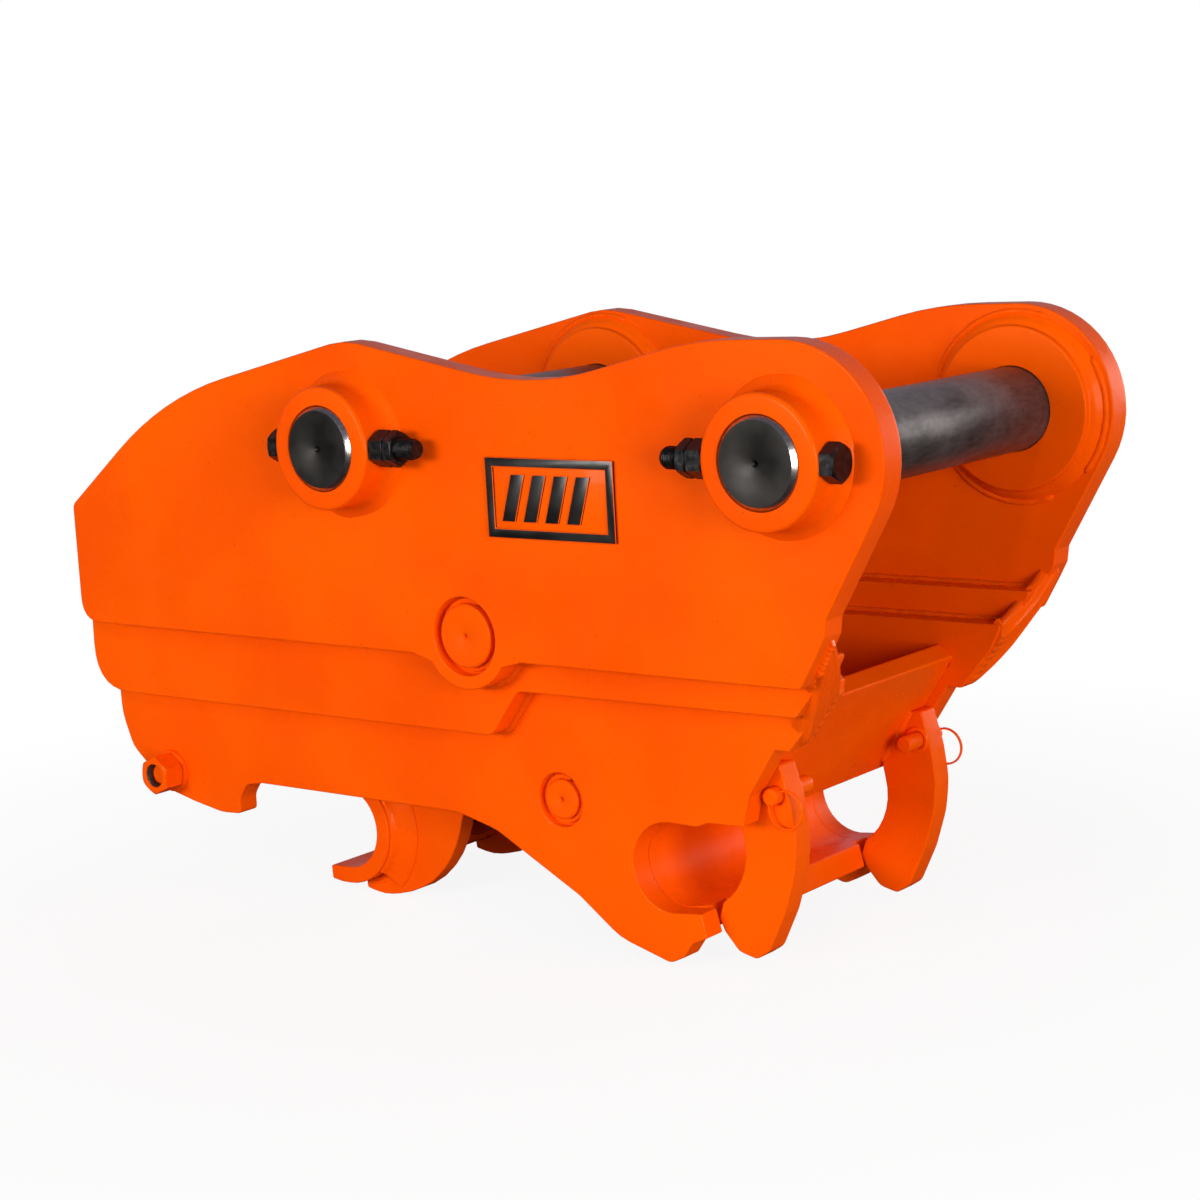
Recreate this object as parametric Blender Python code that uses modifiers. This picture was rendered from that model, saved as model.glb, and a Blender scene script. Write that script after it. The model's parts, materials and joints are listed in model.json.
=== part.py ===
"""Excavator quick coupler: lapped side plates, two arm pins, a movable rear hook and a front gate.

Sizes are in millimetres. X runs towards the fixed front jaw, Z is up, Y is across, and the two sides mirror
about Y = 0. Flat outlines are drawn in X and Z from the centre of the rear arm pin.
"""
import math

import bmesh
import bpy
from mathutils import Matrix, Vector

MM = 0.001
GAP = 0.3                      # clearance between neighbouring pieces
LONG_STEP = 12.0               # longest chord on a slow curve

# arm pins
PIN_R = 40.0
PIN_SPACING = 492.0
PIN_HALF = 254.0
BORE_R = PIN_R + 0.4

# half widths of the three lapped side plates, outer faces, and their thickness
UPPER_OUT = 213.0
UPPER_T = 28.0
PLATE_T = 24.7
MID_OUT = UPPER_OUT - UPPER_T - GAP
LOWER_OUT = MID_OUT - PLATE_T - GAP
LOWER_IN = LOWER_OUT - PLATE_T

# levels of the plate edges
LEFT = -399.0
MID_LEFT = -419.0
HEAD_R = 97.5
UPPER_BOTTOM = -195.0
MID_TOP = -171.0
MID_BOTTOM = -274.0
LOWER_TOP = -200.0
BELLY = -361.0
NOSE = -475.0
HEEL = -481.8

# pivots, as X and Z
HOOK_PIVOT = (130.0, -175.0)
HOOK_PIN_R = 30.0
BASE_PIVOT = (190.0, -335.0)
BASE_PIN_R = 19.0
ROD_PIVOT = (-30.0, -388.0)
ROD_PIN_R = 19.5
ROD_EYE_R = 36.0
CHEEK_IN = 76.5
CHEEK_T = 20.0
REAR_SEAT = (-136.0, -410.0)
FRONT_SEAT = (314.0, -385.0)
SEAT_R = 42.3
TIE_ROD = (-337.0, -360.5)
TIE_R = 12.0

# front gate
GATE_TOP = (443.0, -233.0)
GATE_BOTTOM = (367.0, -347.0)
GATE_T = 20.0
STUB_R = 9.0
STUB_DEPTH = 18.0              # of the blind holes in the lower plates
CLAW_T = 25.0
CLAW_OUT = LOWER_IN - 2.0
RING_PIN = (415.0, -312.0)
RING_PIN_R = 8.0
RING_PIN_OUT = CLAW_OUT + 10.5
RING_PIN_LENGTH = 60.5
RING_R = 17.5
RING_WIRE = 1.8
RING_ANGLE = math.radians(-40)

# collar bolts
BOLT_R = 10.0
BOLT_AF = 30.0
BOLT_Y = 233.0
COLLAR_R = 58.0
COLLAR_OUT = 251.0

CENTRE_X = (MID_LEFT + PIN_SPACING + HEAD_R) / 2 + 0.4
FLOOR = HEEL + 1.1

SIDES = (("near", -1), ("far", 1))
ROTATE_UP = Matrix.Rotation(math.pi / 2, 3, "X")


def clear_scene():
    for item in list(bpy.data.objects):
        bpy.data.objects.remove(item, do_unlink=True)


def collection(name):
    group = bpy.data.collections.new(name)
    bpy.context.scene.collection.children.link(group)
    return group


def material(name, colour, roughness, metallic):
    made = bpy.data.materials.new(name)
    made.use_nodes = True
    shader = made.node_tree.nodes["Principled BSDF"]
    shader.inputs["Base Color"].default_value = (*colour, 1.0)
    shader.inputs["Roughness"].default_value = roughness
    shader.inputs["Metallic"].default_value = metallic
    return made


def arc(centre, radius, start, end, step=10):
    """Points on an arc, by angles in degrees, both ends included."""
    count = max(1, math.ceil(abs(end - start) / step))
    points = []
    for i in range(count + 1):
        angle = math.radians(start + (end - start) * i / count)
        points.append((centre[0] + radius * math.cos(angle), centre[1] + radius * math.sin(angle)))
    return points


def circle(centre, radius, count):
    return arc(centre, radius, 0, 360 - 360 / count, 360 / count)


def rounded(corners, step=15, closed=True):
    """An outline whose corners (x, z, radius) are filleted; the two ends of an open one stay sharp."""
    points = []
    for i, (x, z, radius) in enumerate(corners):
        here = Vector((x, z))
        if not closed and i in (0, len(corners) - 1):
            points.append((x, z))
            continue
        before = Vector(corners[i - 1][:2]) - here
        after = Vector(corners[(i + 1) % len(corners)][:2]) - here
        opening = before.angle(after)
        if radius == 0 or math.pi - opening < 0.02:
            points.append((x, z))
            continue
        reach = min(radius / math.tan(opening / 2), 0.48 * before.length, 0.48 * after.length)
        first = here + before.normalized() * reach
        last = here + after.normalized() * reach
        count = max(2, math.ceil(math.degrees(math.pi - opening) / step), math.ceil(reach / LONG_STEP))
        for k in range(count + 1):
            t = k / count
            points.append(tuple(first * (1 - t) ** 2 + here * 2 * t * (1 - t) + last * t * t))
    return points


class Builder:
    def __init__(self):
        self.parts = collection("quick_coupler")
        self.cutters = collection("cutters")
        self.root = self.empty("coupler_root", None, (0, 0, 0))
        self.root.location = Vector((-CENTRE_X, 0, -FLOOR)) * MM
        self.paint = material("orange_paint", (0.90, 0.13, 0.005), 0.3, 0.0)
        self.pin_steel = material("pin_steel", (0.16, 0.16, 0.17), 0.35, 1.0)
        self.black_steel = material("black_oxide", (0.02, 0.02, 0.022), 0.4, 0.6)
        self.black_paint = material("black_paint", (0.015, 0.015, 0.015), 0.45, 0.0)
        self.chrome = material("rod_chrome", (0.6, 0.6, 0.62), 0.15, 1.0)

    def empty(self, name, parent, place):
        frame = bpy.data.objects.new(name, None)
        self.parts.objects.link(frame)
        frame.parent = parent
        frame.location = Vector(place) * MM
        return frame

    def add(self, name, mesh, finish, parent, place, rotation=(0, 0, 0)):
        part = bpy.data.objects.new(name, mesh)
        self.parts.objects.link(part)
        if finish is not None and not mesh.materials:
            mesh.materials.append(finish)
        part.parent = parent
        part.location = Vector(place) * MM
        part.rotation_euler = rotation
        return part

    def as_cutter(self, tool):
        self.parts.objects.unlink(tool)
        self.cutters.objects.link(tool)
        tool.hide_render = True
        tool.display_type = "WIRE"
        return tool

    def flat_mesh(self, name, loops, thickness):
        """A plate in the local XZ plane, centred on Y = 0, from an outer loop and any hole loops."""
        data = bpy.data.curves.new(name + "_outline", "CURVE")
        data.dimensions = "2D"
        data.fill_mode = "BOTH"
        data.extrude = thickness / 2 * MM
        for loop in loops:
            spline = data.splines.new("POLY")
            spline.points.add(len(loop) - 1)
            for point, (x, z) in zip(spline.points, loop):
                point.co = (x * MM, z * MM, 0, 1)
            spline.use_cyclic_u = True
        guide = bpy.data.objects.new(name + "_outline", data)
        self.parts.objects.link(guide)
        bpy.context.view_layer.update()
        solid = guide.evaluated_get(bpy.context.evaluated_depsgraph_get())
        mesh = bpy.data.meshes.new_from_object(solid)
        mesh.name = name
        bpy.data.objects.remove(guide, do_unlink=True)
        shape = bmesh.new()
        shape.from_mesh(mesh)
        bmesh.ops.remove_doubles(shape, verts=shape.verts, dist=0.00001)
        bmesh.ops.rotate(shape, verts=shape.verts, cent=(0, 0, 0), matrix=ROTATE_UP)
        bmesh.ops.recalc_face_normals(shape, faces=shape.faces)
        shape.to_mesh(mesh)
        shape.free()
        return mesh

    def plate(self, name, loops, inner, outer, side, finish, parent=None, origin=(0, 0)):
        """A plate between two half widths on one side; origin is the parent's place in X and Z."""
        shifted = [[(x - origin[0], z - origin[1]) for x, z in loop] for loop in loops]
        mesh = self.flat_mesh(name, shifted, outer - inner)
        middle = side * (inner + outer) / 2
        return self.add(name, mesh, finish, parent or self.root, (0, middle, 0))

    def turned(self, name, profile, place, side, finish, parent=None, count=32, closed=False):
        """A turned piece on an axis along Y; profile is (radius, distance from Y = 0), outermost first."""
        mesh = bpy.data.meshes.new(name)
        shape = bmesh.new()
        verts = [shape.verts.new((r * MM, 0, y * MM)) for r, y in profile]
        for first, second in zip(verts, verts[1:]):
            shape.edges.new((first, second))
        if closed:
            shape.edges.new((verts[-1], verts[0]))
        shape.to_mesh(mesh)
        shape.free()
        turn = (math.pi / 2, 0, 0) if side < 0 else (-math.pi / 2, 0, 0)
        part = self.add(name, mesh, finish, parent or self.root, (place[0], 0, place[1]), turn)
        screw = part.modifiers.new("turn", "SCREW")
        screw.angle = math.tau
        screw.steps = count
        screw.render_steps = count
        screw.use_merge_vertices = True
        screw.merge_threshold = 0.0001
        return part

    def boolean(self, part, tool, operation):
        step = part.modifiers.new(operation.lower(), "BOOLEAN")
        step.operation = operation
        step.solver = "EXACT"
        step.object = tool

    def rod_tool(self, name, radius, start, end, parent=None, count=20):
        """A hidden cylinder between two points, used to cut or to join."""
        mesh = bpy.data.meshes.new(name)
        shape = bmesh.new()
        span = (Vector(end) - Vector(start)) * MM
        bmesh.ops.create_cone(shape, cap_ends=True, segments=count, radius1=radius * MM,
                              radius2=radius * MM, depth=span.length)
        shape.to_mesh(mesh)
        shape.free()
        middle = (Vector(start) + Vector(end)) / 2
        tool = self.add(name, mesh, None, parent or self.root, middle)
        tool.rotation_mode = "QUATERNION"
        tool.rotation_quaternion = span.to_track_quat("Z", "Y")
        return self.as_cutter(tool)

    def box_tool(self, name, low, high, parent=None):
        mesh = bpy.data.meshes.new(name)
        shape = bmesh.new()
        size = Vector(high) - Vector(low)
        bmesh.ops.create_cube(shape, size=1)
        bmesh.ops.scale(shape, verts=shape.verts, vec=size * MM)
        shape.to_mesh(mesh)
        shape.free()
        middle = (Vector(low) + Vector(high)) / 2
        return self.as_cutter(self.add(name, mesh, None, parent or self.root, middle))


def polar(radius, angle):
    turned = math.radians(angle)
    return (radius * math.cos(turned), radius * math.sin(turned))


def upper_outline():
    """Side plate that carries the arm pins: sloped tail, hump, saddle, round head, belly at hook pin."""
    round_head = arc((PIN_SPACING, 0.0), HEAD_R, 90, -30, 7)
    reach = 50.0
    dip = math.degrees(math.asin((HOOK_PIVOT[1] - UPPER_BOTTOM) / reach))
    x = HOOK_PIVOT[0]
    belly = [(x + 66, UPPER_BOTTOM), (x + 55, UPPER_BOTTOM - 3)]
    belly += arc(HOOK_PIVOT, reach, -dip - 8, dip - 172, 9)
    belly += [(x - 55, UPPER_BOTTOM - 3), (x - 66, UPPER_BOTTOM)]
    chin = [(527, -134, 4), (525, -149, 4), (517, -164, 6), (499, UPPER_BOTTOM, 6)]
    back = [(LEFT, UPPER_BOTTOM, 26), (LEFT, -72, 10), (-250, 41, 800), (2, 98, 90), (228, 54, 350),
            (405, 97, 500)]
    front = rounded([round_head[-1] + (0,)] + chin + [belly[0] + (0,)], closed=False)[1:-1]
    top = rounded([belly[-1] + (0,)] + back + [round_head[0] + (0,)], closed=False)[1:-1]
    return top + round_head + front + belly


def lug(level, reach, half=72):
    """The rise of a plate's top edge around the hook pin, from right to left."""
    x, z = HOOK_PIVOT
    top = z + reach
    return [(x + half, level, 20), (x + reach, top, reach), (x - reach, top, reach), (x - half, level, 20)]


def mid_outline():
    corners = [(MID_LEFT + 2, MID_TOP, 12), (MID_LEFT, MID_BOTTOM, 60), (132, MID_BOTTOM, 14),
               (166, -229, 14), (474, -227, 5), (492, -205, 8), (506, -184, 5), (513, MID_TOP, 4)]
    return rounded(corners + lug(MID_TOP, 52))


def lower_outline():
    x, z = FRONT_SEAT
    rear = [(-402, LOWER_TOP, 8), (-413, -225, 10), (-411, -305, 60), (-398, -340, 30), (-348, -382, 30),
            (-310, -391, 60), (-268, -398.5, 60), (-240, -397, 6), (-240, -380, 14), (-229, BELLY - 4, 12),
            (-206, BELLY, 12)]
    front = [(60, BELLY, 60), (108, -373, 60), (206, -425, 60), (252, -459, 60), (309, NOSE, 12),
             (324, -468, 4), (334, -454, 8), (352, -445.5, 2), (346, -424, 2), (x, z - SEAT_R, 0)]
    seat = arc(FRONT_SEAT, SEAT_R, -100, -260, 10)
    nose = [(x + 2, z + SEAT_R, 0), (346, -343, 8), (358, -338, 8), (397, -337, 2), (404, -309, 10),
            (434, -264, 2), (449, -264, 2), (483, -224, 3), (495, LOWER_TOP, 4)]
    rise = lug(LOWER_TOP, 52)
    first = rounded([rise[-1]] + rear + front, closed=False)[1:]
    last = rounded([seat[-1] + (0,)] + nose + rise + [rear[0]], closed=False)[1:-1]
    return first + seat + last


def hook_cheek_outline():
    seat_edge = SEAT_R + 17.3
    boss = arc(HOOK_PIVOT, 62, -25, 165, 12)
    back = [(-30, -258, 40), (-92, -318, 30)]
    heel = [(-127, -477, 3), (-103, HEEL, 200), (-66, -475, 200), (-33, -459, 200), (-7, -431, 200),
            (6, -402, 200), (11, -383, 40), (50, -328, 60), (176, -222, 60)]
    seat = arc(REAR_SEAT, seat_edge, 60, -82, 9)
    upper = rounded([boss[-1] + (0,)] + back + [seat[0] + (0,)], closed=False)[1:-1]
    lower = rounded([seat[-1] + (0,)] + heel + [boss[0] + (0,)], closed=False)[1:-1]
    return boss + upper + seat + lower


def hook_liner_outline():
    x, z = REAR_SEAT
    outer = SEAT_R + 17.0
    inside = arc(REAR_SEAT, SEAT_R, -90, 62, 9)
    outside = arc(REAR_SEAT, outer, 62, -90, 9)
    lip = [(x - 11, z - outer), (x - 24, z - outer + 2), (x - 25, z - SEAT_R - 1)]
    return inside + outside + lip


def claw_outline():
    """A claw that closes the front jaw, with its back edge flat on the gate plate."""
    front = [(420, -284, 4), (430, -317, 60), (435, -352, 80), (431, -384, 80), (419, -421, 60),
             (401, -458, 14), (386, -467.5, 8), (367, -463, 14), (352, -446, 8), (346.5, -434, 5)]
    mouth = arc((318, -368), 61, -56, 14, 10)
    face = Vector((GATE_TOP[0] - GATE_BOTTOM[0], GATE_TOP[1] - GATE_BOTTOM[1])).normalized()
    off = Vector((face.y, -face.x)) * GAP
    low = Vector(GATE_BOTTOM) + off
    tip = low + face * 75
    root = low + face * 12
    return rounded([tuple(tip) + (0,)] + front + [mouth[0] + (0,)], closed=False) + mouth[1:] + [tuple(root)]


def seat_outline():
    """Half-round jaw seat with a straight upper branch and a lip."""
    x, z = FRONT_SEAT
    wall = 20.0
    inner = SEAT_R
    lip_inner = rounded([(x, z - inner, 0), (346, -422, 3), (352, -446, 3),
                         (x, z - inner - wall, 0)], closed=False)
    outside = arc(FRONT_SEAT, inner + wall, -90, -270, 10)
    upper = [(343, z + inner + wall), (343, z + inner)]
    inside = arc(FRONT_SEAT, inner, 90, 270, 10)
    return lip_inner + outside[1:] + upper + inside[:-1]


def hexagon(across_flats):
    return circle((0, 0), across_flats / math.sqrt(3), 6)


def side_plates(made):
    head = (PIN_SPACING, 0.0)
    for name, side in SIDES:
        upper = made.plate("upper_plate_" + name,
                           [upper_outline(), circle((0, 0), BORE_R, 32), circle(head, BORE_R, 32),
                            circle(HOOK_PIVOT, HOOK_PIN_R + 0.4, 28)],
                           UPPER_OUT - UPPER_T, UPPER_OUT, side, made.paint)
        x, z = HOOK_PIVOT
        recess = made.rod_tool("hook_recess_" + name, 37, (x, side * (UPPER_OUT - 12), z),
                               (x, side * (UPPER_OUT + 5), z), count=28)
        made.boolean(upper, recess, "DIFFERENCE")
        made.plate("mid_plate_" + name, [mid_outline(), circle(HOOK_PIVOT, HOOK_PIN_R + 0.4, 28)],
                   MID_OUT - PLATE_T, MID_OUT, side, made.paint)
        lower = made.plate("lower_plate_" + name,
                           [lower_outline(), circle(HOOK_PIVOT, HOOK_PIN_R + 0.4, 28),
                            circle(BASE_PIVOT, BASE_PIN_R + 0.4, 24), circle(TIE_ROD, TIE_R + 0.4, 16)],
                           LOWER_IN, LOWER_OUT, side, made.paint)
        x, z = BASE_PIVOT
        recess = made.rod_tool("base_recess_" + name, 26, (x, side * (LOWER_OUT - 9), z),
                               (x, side * (LOWER_OUT + 5), z), count=24)
        made.boolean(lower, recess, "DIFFERENCE")
        x, z = gate_axis()
        blind = made.rod_tool("stub_hole_" + name, STUB_R + 0.3, (x, side * (LOWER_IN - 5), z),
                              (x, side * (LOWER_IN + STUB_DEPTH), z), count=16)
        made.boolean(lower, blind, "DIFFERENCE")


def collar(made, name, x, side):
    profile = [(COLLAR_R - 2, COLLAR_OUT), (COLLAR_R, COLLAR_OUT - 2), (COLLAR_R, UPPER_OUT + 2.5),
               (COLLAR_R + 3, UPPER_OUT + GAP), (BORE_R, UPPER_OUT + GAP), (BORE_R, COLLAR_OUT)]
    part = made.turned(name, profile, (x, 0), side, made.paint, closed=True)
    y = side * BOLT_Y
    hole = made.rod_tool(name + "_hole", BOLT_R + 0.4, (x - 90, y, 0), (x + 90, y, 0))
    made.boolean(part, hole, "DIFFERENCE")
    return hole


def inner_disc(made, name, x, side):
    back = UPPER_OUT - UPPER_T - GAP
    profile = [(BORE_R, back), (86, back), (79, back - 7), (79, back - 15), (BORE_R, back - 15)]
    made.turned(name, profile, (x, 0), side, made.paint, closed=True)


def collar_bolt(made, name, x, side, way):
    """Hex bolt across a collar, its head on the side that way points to, with a nut and a jam nut."""
    y = side * BOLT_Y
    seat = COLLAR_R + GAP
    turn = (0, 0, math.pi / 2)
    mesh = made.flat_mesh("bolt_" + name, [hexagon(BOLT_AF)], 13)
    head = made.add("bolt_" + name, mesh, made.black_steel, made.root, (x + way * (seat + 6.5), y, 0), turn)
    shank = made.rod_tool("shank_" + name, BOLT_R, (x + way * (seat + 4), y, 0), (x - way * 106, y, 0))
    made.boolean(head, shank, "UNION")
    start = seat
    for label, height in (("nut_", 17.0), ("jam_nut_", 10.0)):
        mesh = made.flat_mesh(label + name, [hexagon(BOLT_AF), circle((0, 0), BOLT_R + GAP, 20)], height)
        place = (x - way * (start + height / 2), y, 0)
        made.add(label + name, mesh, made.black_steel, made.root, place, turn)
        start += height + GAP


def arm_pins(made):
    for name, x, way in (("rear", 0.0, -1), ("front", PIN_SPACING, 1)):
        profile = [(0, PIN_HALF), (PIN_R - 4, PIN_HALF), (PIN_R, PIN_HALF - 4), (PIN_R, -PIN_HALF + 4),
                   (PIN_R - 4, -PIN_HALF), (0, -PIN_HALF)]
        pin = made.turned("arm_pin_" + name, profile, (x, 0), 1, made.pin_steel)
        for side_name, side in SIDES:
            label = name + "_" + side_name
            hole = collar(made, "collar_" + label, x, side)
            made.boolean(pin, hole, "DIFFERENCE")
            inner_disc(made, "disc_" + label, x, side)
            collar_bolt(made, label, x, side, way)


def circlip(made, name, centre, radius, y, side):
    """External circlip with two lugs at the upper right."""
    inner = radius + GAP
    outer = radius + 4.5
    ring = arc((0, 0), outer, 72, 408, 18)
    back = arc((0, 0), inner, 404, 76, 12)
    tip = outer + 2
    first = [polar(tip, 72)]
    second = [polar(tip, 48), polar(tip, 56), polar(inner + 1, 54)]
    loop = first + ring + second + back + [polar(inner + 1, 66), polar(tip, 64)]
    if side > 0:
        loop = [(-x, z) for x, z in loop]
    mesh = made.flat_mesh(name, [loop], 2.5)
    made.add(name, mesh, made.paint, made.root, (centre[0], side * y, centre[1]))


def pivot_pins(made):
    for name, centre, radius, face, floor in (
            ("hook_pin", HOOK_PIVOT, HOOK_PIN_R, UPPER_OUT - 1.5, UPPER_OUT - 12),
            ("base_pin", BASE_PIVOT, BASE_PIN_R, LOWER_OUT - 1.0, LOWER_OUT - 9)):
        profile = [(0, face), (radius - 1.5, face), (radius, face - 1.5), (radius, -face + 1.5),
                   (radius - 1.5, -face), (0, -face)]
        made.turned(name, profile, centre, 1, made.paint, count=28)
        for side_name, side in SIDES:
            circlip(made, "circlip_" + name + "_" + side_name, centre, radius, floor + GAP + 1.25, side)


def tail_tie(made):
    washer_t = 4.0
    nut_h = 24.0
    end = LOWER_OUT + washer_t + nut_h - 8
    profile = [(0, end), (TIE_R - 1, end), (TIE_R, end - 1), (TIE_R, -end + 1), (TIE_R - 1, -end),
               (0, -end)]
    made.turned("tie_rod", profile, TIE_ROD, 1, made.black_steel, count=20)
    for name, side in SIDES:
        start = LOWER_OUT + GAP
        ring = [(22, start + washer_t), (22, start), (TIE_R + GAP, start), (TIE_R + GAP, start + washer_t)]
        made.turned("tie_washer_" + name, ring, TIE_ROD, side, made.paint, count=24, closed=True)
        mesh = made.flat_mesh("tie_nut_" + name, [hexagon(36), circle((0, 0), TIE_R + GAP, 20)], nut_h)
        y = side * (start + washer_t + GAP + nut_h / 2)
        made.add("tie_nut_" + name, mesh, made.paint, made.root, (TIE_ROD[0], y, TIE_ROD[1]))


def cross_members(made):
    half = LOWER_IN - GAP
    seat = made.plate("jaw_seat", [seat_outline()], -half, half, 1, made.paint)
    for name, side in SIDES:
        inner = side * (CLAW_OUT - CLAW_T - 2)
        outer = side * (half + 5)
        low = (336, min(inner, outer), NOSE)
        high = (400, max(inner, outer), -395)
        slot = made.box_tool("claw_slot_" + name, low, high)
        made.boolean(seat, slot, "DIFFERENCE")
    bridge = rounded([(-396, -212, 4), (-396, -322, 4), (-376, -322, 4), (-376, -212, 4)])
    made.plate("rear_bridge", [bridge], -half, half, 1, made.paint)


def name_plate(made):
    low, high = Vector((171, -80)), Vector((316, -7))
    loop = rounded([(low.x, low.y, 3), (high.x, low.y, 3), (high.x, high.y, 3), (low.x, high.y, 3)], 30)
    made.plate("name_plate", [loop], UPPER_OUT + GAP, UPPER_OUT + 3.3, -1, made.black_paint)


def hook(made):
    axis = made.empty("hook_axis", made.root, (HOOK_PIVOT[0], 0, HOOK_PIVOT[1]))
    for name, side in SIDES:
        made.plate("hook_cheek_" + name,
                   [hook_cheek_outline(), circle(HOOK_PIVOT, 50.6, 28)],
                   CHEEK_IN, CHEEK_IN + CHEEK_T, side, made.paint, axis, HOOK_PIVOT)
    made.plate("hook_liner", [hook_liner_outline()], -113, 113, 1, made.paint, axis, HOOK_PIVOT)
    half = LOWER_IN - 0.7
    tube = [(50, half), (50, -half), (HOOK_PIN_R + 0.4, -half), (HOOK_PIN_R + 0.4, half)]
    made.turned("hook_tube", tube, (0, 0), 1, made.paint, axis, count=28, closed=True)
    end = CHEEK_IN - GAP
    rod_pin = [(0, end), (ROD_PIN_R, end), (ROD_PIN_R, -end), (0, -end)]
    offset = (ROD_PIVOT[0] - HOOK_PIVOT[0], ROD_PIVOT[1] - HOOK_PIVOT[1])
    made.turned("rod_pin", rod_pin, offset, 1, made.black_steel, axis, count=20)


def cylinder(made):
    """Barrel on the base pin, rod with its eye on the hook; the axis empty's X points along the stroke."""
    span = Vector((ROD_PIVOT[0] - BASE_PIVOT[0], 0, ROD_PIVOT[1] - BASE_PIVOT[1]))
    axis = made.empty("cylinder_axis", made.root, (BASE_PIVOT[0], 0, BASE_PIVOT[1]))
    axis.rotation_euler = (0, -math.atan2(span.z, span.x), 0)
    reach = span.length
    front = 142.0
    lie = (0, math.pi / 2, 0)

    def lathe(name, profile, finish, count, closed=False):
        part = made.turned(name, profile, (0, 0), 1, finish, axis, count, closed)
        part.rotation_euler = lie
        return part

    profile = [(0, front), (40, front), (42, front - 2), (42, front - 18), (46, front - 20),
               (46, 24), (38, 14), (0, 14)]
    barrel = lathe("cylinder_barrel", profile, made.black_paint, 28)
    eye = made.rod_tool("base_eye", 32, (0, -38, 0), (0, 38, 0), axis, 28)
    made.boolean(barrel, eye, "UNION")
    hole = made.rod_tool("base_bore", BASE_PIN_R + 0.4, (0, -60, 0), (0, 60, 0), axis, 20)
    made.boolean(barrel, hole, "DIFFERENCE")
    hole = made.rod_tool("rod_bore", 22.4, (46, 0, 0), (front + 10, 0, 0), axis, 24)
    made.boolean(barrel, hole, "DIFFERENCE")
    rod = lathe("cylinder_rod", [(0, reach - 30), (22, reach - 30), (22, 100), (0, 100)], made.chrome, 24)
    eye = made.rod_tool("rod_eye", ROD_EYE_R, (reach, -38, 0), (reach, 38, 0), axis, 28)
    made.boolean(rod, eye, "UNION")
    hole = made.rod_tool("rod_eye_bore", ROD_PIN_R + 2.5, (reach, -60, 0), (reach, 60, 0), axis, 20)
    made.boolean(rod, hole, "DIFFERENCE")


def gate_axis():
    """Hinge of the front gate: near its top edge, halfway through the plate."""
    face = Vector((GATE_TOP[0] - GATE_BOTTOM[0], GATE_TOP[1] - GATE_BOTTOM[1])).normalized()
    inward = Vector((-face.y, face.x))
    centre = Vector(GATE_TOP) - face * 12 + inward * GATE_T / 2
    return (centre.x, centre.y)


def front_gate(made):
    pivot = gate_axis()
    axis = made.empty("gate_axis", made.root, (pivot[0], 0, pivot[1]))
    face = Vector((GATE_TOP[0] - GATE_BOTTOM[0], GATE_TOP[1] - GATE_BOTTOM[1])).normalized()
    inward = Vector((-face.y, face.x)) * GATE_T
    top, bottom = Vector(GATE_TOP), Vector(GATE_BOTTOM)
    section = [tuple(point) + (2,) for point in (top, bottom, bottom + inward, top + inward)]
    half = LOWER_IN - 0.6
    made.plate("gate_plate", [rounded(section, 45)], -half, half, 1, made.paint, axis, pivot)
    for name, side in SIDES:
        made.plate("claw_" + name, [claw_outline(), circle(RING_PIN, RING_PIN_R + GAP, 20)],
                   CLAW_OUT - CLAW_T, CLAW_OUT, side, made.paint, axis, pivot)
        end = LOWER_IN + STUB_DEPTH - 1
        stub = [(0, end), (STUB_R, end), (STUB_R, half + GAP), (0, half + GAP)]
        made.turned("gate_stub_" + name, stub, (0, 0), side, made.paint, axis, 20)
        ring_pin(made, name, side, axis, pivot)


def ring_pin(made, name, side, axis, pivot):
    """Pull pin through a claw, with a ring through a cross hole in its outer end."""
    offset = (RING_PIN[0] - pivot[0], RING_PIN[1] - pivot[1])
    end = RING_PIN_OUT
    start = end - RING_PIN_LENGTH
    profile = [(0, end), (RING_PIN_R - 1, end), (RING_PIN_R, end - 1), (RING_PIN_R, start + 1),
               (RING_PIN_R - 1, start), (0, start)]
    pin = made.turned("ring_pin_" + name, profile, offset, side, made.paint, axis, 20)
    along = Vector((math.cos(RING_ANGLE), 0, math.sin(RING_ANGLE)))
    across = Vector((-along.z, 0, along.x))
    level = Vector((0, side * (end - 5.6), 0))
    place = Vector((offset[0], 0, offset[1])) + level
    middle = place + along * 0.9
    hole = made.rod_tool("ring_hole_" + name, 3.9, middle - across * 15, middle + across * 15, axis, 12)
    made.boolean(pin, hole, "DIFFERENCE")
    shape = bmesh.new()
    count, sides = 24, 6
    ring_mesh = bpy.data.meshes.new("ring_" + name)
    profile_circle = bmesh.ops.create_circle(shape, cap_ends=False, radius=RING_WIRE * MM, segments=sides)
    bmesh.ops.rotate(shape, verts=profile_circle["verts"], cent=(0, 0, 0), matrix=ROTATE_UP)
    bmesh.ops.translate(shape, verts=profile_circle["verts"], vec=(RING_R * MM, 0, 0))
    shape.to_mesh(ring_mesh)
    shape.free()
    hinge = made.empty("ring_axis_" + name, axis, place)
    ring = made.add("ring_" + name, ring_mesh, made.paint, hinge, along * RING_R, (math.pi / 2, 0, 0))
    screw = ring.modifiers.new("turn", "SCREW")
    screw.angle = math.tau
    screw.steps = count
    screw.render_steps = count
    screw.use_merge_vertices = True
    screw.merge_threshold = 0.0001


def smooth_round_parts(parts):
    for part in parts.objects:
        if part.type == "MESH":
            part.data.shade_smooth()
            part.data.set_sharp_from_angle(angle=math.radians(35))


def main():
    clear_scene()
    made = Builder()
    side_plates(made)
    arm_pins(made)
    pivot_pins(made)
    tail_tie(made)
    cross_members(made)
    name_plate(made)
    hook(made)
    cylinder(made)
    front_gate(made)
    smooth_round_parts(made.parts)


main()
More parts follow.
